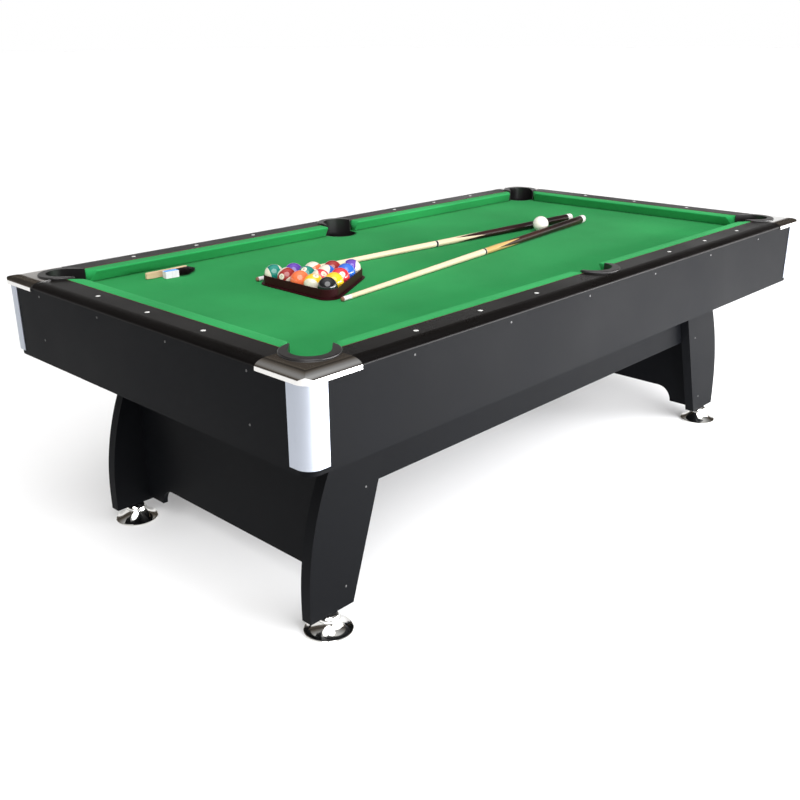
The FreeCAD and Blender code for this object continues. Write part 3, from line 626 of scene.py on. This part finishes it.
# ---- cues -----------------------------------------------------------------------------------
def butt_material(name, points_at, turn, light, streak):
    """Dark butt that four wooden points reach into; local X runs from the tip, turn is about it."""
    made = Surface(name, light, 0.35, specular=0.3)
    split = made.node("ShaderNodeSeparateXYZ")
    made.link(made.place, split.inputs["Vector"])
    angle = made.node("ShaderNodeMath", operation="ARCTAN2")
    made.link(split.outputs["Y"], angle.inputs[0])
    made.link(split.outputs["Z"], angle.inputs[1])
    turned = made.node("ShaderNodeMath", operation="ADD")
    made.link(angle.outputs[0], turned.inputs[0])
    turned.inputs[1].default_value = math.radians(turn)
    quarter = made.node("ShaderNodeMath", operation="PINGPONG")
    made.link(turned.outputs[0], quarter.inputs[0])
    quarter.inputs[1].default_value = math.pi / 4
    edge = made.range(quarter.outputs[0], 0, math.pi / 4, points_at - 0.15, points_at)
    beyond = made.node("ShaderNodeMath", operation="GREATER_THAN")
    made.link(split.outputs["X"], beyond.inputs[0])
    made.link(edge, beyond.inputs[1])
    grain = made.noise(60, 6, (0.05, 1, 1))
    wood = made.mix(made.range(grain, 0.35, 0.7, 0, 1), light, tuple(c * 0.8 for c in light))
    stain = made.mix(made.range(grain, 0.4, 0.75, 0, 1), (0.008, 0.004, 0.004), streak)
    made.colored(made.mix(beyond.outputs[0], wood, stain))
    made.rough(made.range(grain, 0.3, 0.7, 0.30, 0.42))
    return made.coated(0.05, 0.2).material


CUE_TIP_RADIUS = 0.0065
CUE_BUTT_RADIUS = 0.0145


def make_cue(node, joint_at, butt):
    """Two-piece cue: leather tip, ferrule, maple shaft, joint ring, pointed butt and rubber bumper."""
    points = [v.co.copy() for v in nodes[node].data.vertices]
    tip_side = [p for p in points if p.x < min(p.x for p in points) + 0.02]
    butt_side = [p for p in points if p.x > max(p.x for p in points) - 0.02]
    tip = sum(tip_side, Vector()) / len(tip_side)
    end = sum(butt_side, Vector()) / len(butt_side)
    length = (end - tip).length
    radius = lambda at: CUE_TIP_RADIUS + (CUE_BUTT_RADIUS - CUE_TIP_RADIUS) * at / length
    leather, ferrule, shaft, ring, grip, rubber = range(6)
    shrink = 0.00005
    outline = [(0, 0.0006, leather), (radius(0) * 0.55, 0.0008, leather), (radius(0) * 0.86, 0.0022, leather),
               (radius(0) - 0.0002, 0.004, leather), (radius(0.007) - shrink, 0.0070, leather),
               (radius(0.0072) - shrink, 0.0072, ferrule), (radius(0.039) - shrink, 0.0390, ferrule)]
    steps = 12
    for k in range(1, steps + 1):
        at = 0.0392 + (joint_at - 0.006 - 0.0392) * k / steps
        outline.append((radius(at) - shrink, at, shaft))
    outline += [(radius(joint_at) - shrink, joint_at - 0.0058, ferrule),
                (radius(joint_at) - shrink, joint_at - 0.0045, ferrule),
                (radius(joint_at) - shrink, joint_at + 0.0045, ring),
                (radius(joint_at) - shrink, joint_at + 0.0058, ferrule)]
    for k in range(steps + 1):
        at = joint_at + 0.0062 + (length - 0.030 - joint_at - 0.0062) * k / steps
        outline.append((radius(at) - shrink, at, grip))
    bumper = ((0.0004, 0.0296), (0.0002, 0.028), (0.0002, 0.006), (0.002, 0.0022), (0.006, 0.0005))
    outline += [(radius(length) - inset, length - back, rubber) for inset, back in bumper]
    outline.append((0, length - 0.0002, rubber))
    turned = lathe(outline, 40)
    bmesh.ops.rotate(turned, verts=turned.verts, cent=(0, 0, 0), matrix=Matrix.Rotation(math.pi / 2, 3, "Y"))
    materials = [LEATHER, FERRULE, MAPLE, JOINT_RING, butt_material("butt_" + node, *butt), RUBBER]
    cue = new_object("wood_" + node, turned, materials)
    x_axis = (end - tip).normalized()
    y_axis = Vector((0, 0, 1)).cross(x_axis).normalized()
    z_axis = x_axis.cross(y_axis)
    cue.matrix_world = Matrix.Translation(tip) @ Matrix((x_axis, y_axis, z_axis)).transposed().to_4x4()
    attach(cue, node)
    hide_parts(node)


LEATHER = moulded("cue_tip_leather", (0.20, 0.10, 0.06), 0.8).material
FERRULE = moulded("cue_ferrule", (0.74, 0.69, 0.71), 0.35).material
MAPLE = timber("cue_maple", (0.80, 0.65, 0.47), (0.72, 0.55, 0.37), 0.34, (0.05, 1, 1), 90).material
JOINT_RING = moulded("cue_joint_ring", (0.012, 0.011, 0.010), 0.35, specular=0.2).material
RUBBER = moulded("cue_bumper_rubber", (0.72, 0.66, 0.66), 0.5).material


# ---- chalk and brush ------------------------------------------------------------------------
def make_chalk():
    """Two cubes of chalk in white paper side by side, with dished blue tops."""
    points = [v.co.copy() for v in nodes["chalk_box"].data.vertices]
    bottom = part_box("chalk_box")[0][2]
    corner = min(points, key=lambda p: p.x)
    far = max((p for p in points if abs(p.z - corner.z) < 1e-6), key=lambda p: (p - corner).length)
    side = [p for p in points if abs(p.z - corner.z) < 1e-6 and 0.04 < (p - corner).length < 0.0455][0]
    x_axis = (side - corner).normalized()
    centre = (corner + far) / 2
    centre.z = bottom
    y_axis = Vector((0, 0, 1)).cross(x_axis)
    paper = moulded("chalk_paper", (0.80, 0.74, 0.80), 0.7).material
    chalk = Surface("chalk_blue", (0.10, 0.34, 0.78), 0.95)
    crumbs = chalk.noise(900, 4)
    chalk.varied(chalk.range(crumbs, 0.4, 0.7, 0, 1), (0.20, 0.48, 0.86))
    chalk = chalk.bumped(crumbs, 0.0004, 0.8).material
    size = 0.0217
    for index, shift in enumerate((-0.01105, 0.01105)):
        cube = bmesh.new()
        steps = 14
        grid = {}
        for i in range(steps + 1):
            for j in range(steps + 1):
                u, v = i / steps - 0.5, j / steps - 0.5
                reach = math.hypot(u, v)
                dip = 0.0022 * max(0, 1 - (reach / 0.42) ** 2)
                crumble = 0.0003 * noise.noise(Vector((u * 9, v * 9, index * 7)))
                height = size - 0.0004 - dip + crumble
                grid[i, j] = cube.verts.new((u * size * 0.995, v * size * 0.995, height))
        for i in range(steps):
            for j in range(steps):
                top_face = cube.faces.new((grid[i, j], grid[i + 1, j], grid[i + 1, j + 1], grid[i, j + 1]))
                top_face.material_index = 1
        rim = [grid[i, 0] for i in range(steps)] + [grid[steps, j] for j in range(steps)]
        rim += [grid[i, steps] for i in range(steps, 0, -1)] + [grid[0, j] for j in range(steps, 0, -1)]
        levels = [(1.0, size - 0.0012), (1.0, size / 2), (1.0, 0.0006), (0.97, 0.0)]
        outwards = lambda place: max(-size / 2, min(size / 2, place / 0.995))
        previous = rim
        for grow, height in levels:
            ring = [cube.verts.new((outwards(v.co.x) * grow, outwards(v.co.y) * grow, height)) for v in rim]
            for k in range(len(rim)):
                following = (k + 1) % len(rim)
                cube.faces.new((previous[k], previous[following], ring[following], ring[k]))
            previous = ring
        cube.faces.new(previous)
        bmesh.ops.recalc_face_normals(cube, faces=cube.faces)
        piece = new_object("chalk_cube_%d" % (index + 1), cube, [paper, chalk], smooth=False)
        turn = Matrix((x_axis, y_axis, Vector((0, 0, 1)))).transposed().to_4x4()
        piece.matrix_world = Matrix.Translation(centre + x_axis * shift) @ turn
        bevelled(piece, 0.0004)
        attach(piece, "chalk_box")
        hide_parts("chalk_box")


def along_path(points, share):
    """Point at this share of a plan polyline's length."""
    lengths = [math.dist(a, b) for a, b in zip(points, points[1:])]
    left = share * sum(lengths)
    for (ax, ay), (bx, by), length in zip(points, points[1:], lengths):
        if left <= length:
            return ax + (bx - ax) * left / length, ay + (by - ay) * left / length
        left -= length
    return points[-1]


def make_brush():
    """Bowed wooden back on its side with a fan of black bristles."""
    low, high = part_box("table_brush")
    handle_wood = timber("brush_handle", (0.74, 0.55, 0.36), (0.60, 0.40, 0.24), 0.35, (0.06, 1, 1)).material
    handle = bmesh.new()
    x_start, x_end = low[0] + 0.001, low[0] + 0.147
    back_y = high[1] - 0.0005
    count = 24
    rings = []
    for k in range(count + 1):
        share = k / count
        bow = 0.0035 * math.sin(math.pi * share)
        pinch = 0.0008 * (1 - min(1, min(share, 1 - share) / 0.06))
        x = x_start + (x_end - x_start) * share
        y_back = back_y - bow * 0.6
        y_front = back_y - 0.0110 - bow * 0.6 + 0.002 * share
        z_low, z_high = low[2] + 0.0003 + pinch, low[2] + 0.0198 - pinch
        section = [(y_front + pinch, z_low), (y_back - pinch, z_low),
                   (y_back - pinch, z_high), (y_front + pinch, z_high)]
        rings.append([handle.verts.new((x, y, z)) for y, z in section])
    for first, second in zip(rings, rings[1:]):
        for k in range(4):
            handle.faces.new((first[k], first[(k + 1) % 4], second[(k + 1) % 4], second[k]))
    handle.faces.new(rings[0])
    handle.faces.new(rings[-1])
    bmesh.ops.recalc_face_normals(handle, faces=handle.faces)
    back = bevelled(new_object("brush_back", handle, [handle_wood], smooth=False), 0.0014, 3)
    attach(back, "table_brush")
    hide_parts("table_brush")
    bristle_black = Surface("bristle_black", (0.010, 0.008, 0.009), 0.42)
    bristle_black.varied(bristle_black.noise(400, 3), (0.03, 0.02, 0.02))
    fan_end = high[0] - 0.0012
    roots = [(x_end - 0.048, back_y - 0.0112), (x_end - 0.001, back_y - 0.0105), (x_end, back_y - 0.003)]
    tips = [(x_end - 0.0525, low[1] + 0.008), (x_end - 0.048, low[1] + 0.001),
            (x_end - 0.027, low[1] + 0.001), (x_end + 0.014, low[1] + 0.0295),
            (fan_end - 0.005, back_y - 0.010)]
    tufts = bmesh.new()
    columns = 40
    for column in range(columns):
        for row in range(5):
            for _ in range(6):
                share = min(1, max(0, (column + random.uniform(-0.5, 0.5)) / (columns - 1)))
                root_z = low[2] + 0.0035 + 0.0032 * row + random.uniform(-0.001, 0.001)
                narrowing = 0.9 - 0.5 * share ** 2
                tip_z = low[2] + 0.0014 + (root_z - low[2]) * narrowing + random.uniform(-0.0004, 0.0004)
                start = Vector((*along_path(roots, share), root_z))
                tip = Vector((*along_path(tips, share), tip_z))
                tip = start + (tip - start) * random.uniform(0.90, 1.0)
                middle = (start + tip) / 2
                previous = None
                for spot, width in ((start, 0.00026), (middle, 0.00024), (tip, 0.0001)):
                    ring = [tufts.verts.new(spot + Vector((math.cos(a) * width, 0, math.sin(a) * width)))
                            for a in (0, 2.094, 4.189)]
                    if previous:
                        for k in range(3):
                            tufts.faces.new((previous[k], previous[(k + 1) % 3], ring[(k + 1) % 3], ring[k]))
                    previous = ring
    bristles = new_object("brush_bristles", tufts, [bristle_black.material])
    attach(bristles, "table_brush")
    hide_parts("table_brush")


# ---- sights and screws ----------------------------------------------------------------------
def loose_parts(name):
    """Centre, low and high corners of each separate solid in a CAD node, in the order of their vertices."""
    shape = bmesh.new()
    shape.from_mesh(nodes[name].data)
    bmesh.ops.remove_doubles(shape, verts=shape.verts, dist=1e-6)
    unseen = set(shape.verts)
    parts = []
    for start in shape.verts:
        if start not in unseen:
            continue
        unseen.discard(start)
        stack = [start]
        group = []
        while stack:
            vertex = stack.pop()
            group.append(vertex.co.copy())
            for edge in vertex.link_edges:
                other = edge.other_vert(vertex)
                if other in unseen:
                    unseen.discard(other)
                    stack.append(other)
        low = Vector([min(p[k] for p in group) for k in range(3)])
        high = Vector([max(p[k] for p in group) for k in range(3)])
        parts.append(((low + high) / 2, low, high))
    shape.free()
    return parts


def make_sights():
    """Shallow domed discs in the rail tops."""
    dots = bmesh.new()
    for centre, low, high in loose_parts("rail_sights"):
        radius = (high.x - low.x) / 2
        outline = [(radius, 0, 0), (radius * 0.97, 0.0002, 0), (radius * 0.6, 0.00034, 0), (0, 0.0004, 0)]
        dome = lathe(outline, 32)
        bmesh.ops.translate(dome, verts=dome.verts, vec=(centre.x, centre.y, low.z))
        gather(dots, dome)
    sights = new_object("sight_dots", dots, [SIGHT])
    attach(sights, "table")
    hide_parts("rail_sights")


def cross_head(radius, height):
    """Domed screw head with a cross recess; local Z points out of the board."""
    head = bmesh.new()
    turns = 32
    rings = []
    for share in (1.0, 0.9, 0.75, 0.6, 0.45, 0.3, 0.15):
        ring = []
        for k in range(turns):
            angle = 2 * math.pi * k / turns
            x, y = radius * share * math.cos(angle), radius * share * math.sin(angle)
            z = height * (1 - share ** 2) ** 0.5 if share < 1 else 0
            if min(abs(x), abs(y)) < radius * 0.11 and share < 0.7:
                z -= height * 0.55
            ring.append(head.verts.new((x, y, z)))
        rings.append(ring)
    centre = head.verts.new((0, 0, height * 0.4))
    for outer, inner in zip(rings, rings[1:]):
        for k in range(turns):
            following = (k + 1) % turns
            head.faces.new((outer[k], outer[following], inner[following], inner[k]))
    for k in range(turns):
        head.faces.new((rings[-1][k], rings[-1][(k + 1) % turns], centre))
    return head


def make_screws():
    """A cross-head screw for each head in the CAD."""
    heads = bmesh.new()
    for centre, low, high in loose_parts("panel_screws"):
        size = high - low
        axis = min(range(2), key=lambda k: size[k])
        outward = 1 if centre[axis] > 0 else -1
        head = cross_head(max(size) / 2, size[axis])
        direction = Vector((0, 0, 0))
        direction[axis] = outward
        turn = Vector((0, 0, 1)).rotation_difference(direction).to_matrix()
        bmesh.ops.rotate(head, verts=head.verts, cent=(0, 0, 0), matrix=turn)
        base = centre.copy()
        base[axis] = low[axis] if outward > 0 else high[axis]
        bmesh.ops.translate(head, verts=head.verts, vec=base)
        gather(heads, head)
    screws = new_object("screw_heads", heads, [BLACK_STEEL])
    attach(screws, "table")
    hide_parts("panel_screws")


# ---- stage ----------------------------------------------------------------------------------
def make_stage():
    """Pale floor, soft lights and a plain surround that is bright low down and overhead."""
    floor = bmesh.new()
    bmesh.ops.create_grid(floor, x_segments=4, y_segments=4, size=150)
    pale = Surface("pale_floor", (0.90, 0.90, 0.90), 0.8, specular=0.1)
    pale.varied(pale.range(pale.noise(1.5, 3), 0.4, 0.6, 0, 0.4), (0.88, 0.88, 0.885))
    ground = new_object("floor", floor, [pale.material])
    ground.location.z = -0.0005
    make_surround()
    wide_sun("key_light", (-0.42, -0.50, 0.76), 3.4, 60)
    soft_light("front_light", (4.6, -4.4, 1.3), (0.3, 0, 0.5), 5.0, 2.6, 170, (1, 0.97, 0.96))
    soft_light("floor_light", (1.0, -3.1, 0.95), (1.0, -3.0, 0), 4.2, 2.6, 520, (0.97, 0.98, 1))


def make_surround():
    """World shade by height: white to a little above level, a dim warm wall, and bright overhead."""
    world = bpy.data.worlds.new("surround")
    world.use_nodes = True
    tree = world.node_tree
    direction = tree.nodes.new("ShaderNodeTexCoord").outputs["Generated"]
    split = tree.nodes.new("ShaderNodeSeparateXYZ")
    tree.links.new(direction, split.inputs["Vector"])
    ramp = tree.nodes.new("ShaderNodeValToRGB")
    # height of the direction, 0 level and 1 straight up, and its shade
    stops = [(0.0, (1, 1, 1)), (0.18, (1, 1, 1)), (0.23, (0.12, 0.10, 0.085)), (0.29, (0.05, 0.042, 0.036)),
             (0.36, (0.10, 0.085, 0.07)), (0.44, (0.03, 0.026, 0.022)), (0.56, (0.13, 0.115, 0.10)),
             (0.72, (0.30, 0.30, 0.30)), (1.0, (0.9, 0.9, 0.9))]
    ramp.color_ramp.elements[0].position, ramp.color_ramp.elements[1].position = stops[0][0], stops[-1][0]
    for place, _ in stops[1:-1]:
        ramp.color_ramp.elements.new(place)
    for element, (_, shade) in zip(ramp.color_ramp.elements, stops):
        element.color = (*shade, 1)
    tree.links.new(split.outputs["Z"], ramp.inputs["Fac"])
    tree.links.new(ramp.outputs["Color"], tree.nodes["Background"].inputs["Color"])
    tree.nodes["Background"].inputs["Strength"].default_value = 1.0
    scene.world = world


def wide_sun(name, toward, strength, spread):
    """Even light over the whole floor, with soft shadows; toward points at the light."""
    data = bpy.data.lights.new(name, "SUN")
    data.energy = strength
    data.angle = math.radians(spread)
    lamp = bpy.data.objects.new(name, data)
    lamp.rotation_mode = "QUATERNION"
    lamp.rotation_quaternion = Vector(toward).to_track_quat("Z", "Y")
    scene.collection.objects.link(lamp)


def soft_light(name, place, target, width, height, power, color):
    data = bpy.data.lights.new(name, "AREA")
    data.shape = "RECTANGLE"
    data.size = width
    data.size_y = height
    data.energy = power
    data.color = color
    lamp = bpy.data.objects.new(name, data)
    lamp.location = place
    lamp.rotation_mode = "QUATERNION"
    lamp.rotation_quaternion = (Vector(place) - Vector(target)).to_track_quat("Z", "Y")
    lamp.visible_camera = False
    scene.collection.objects.link(lamp)


make_camera()
finish_nodes()
make_bed_cloth()
for cushion_name in ["cushion_left", "cushion_right"] + ["cushion_" + c for c in CORNERS]:
    make_cushion(cushion_name)
make_balls()
make_cue("cue_rear", 0.7386, (0.976, 38, (0.74, 0.60, 0.41), (0.030, 0.004, 0.004)))
make_cue("cue_front", 0.7386, (0.966, 83, (0.62, 0.40, 0.15), (0.045, 0.015, 0.010)))
make_chalk()
make_brush()
make_sights()
make_screws()
make_stage()
scene.view_settings.view_transform = "Standard"
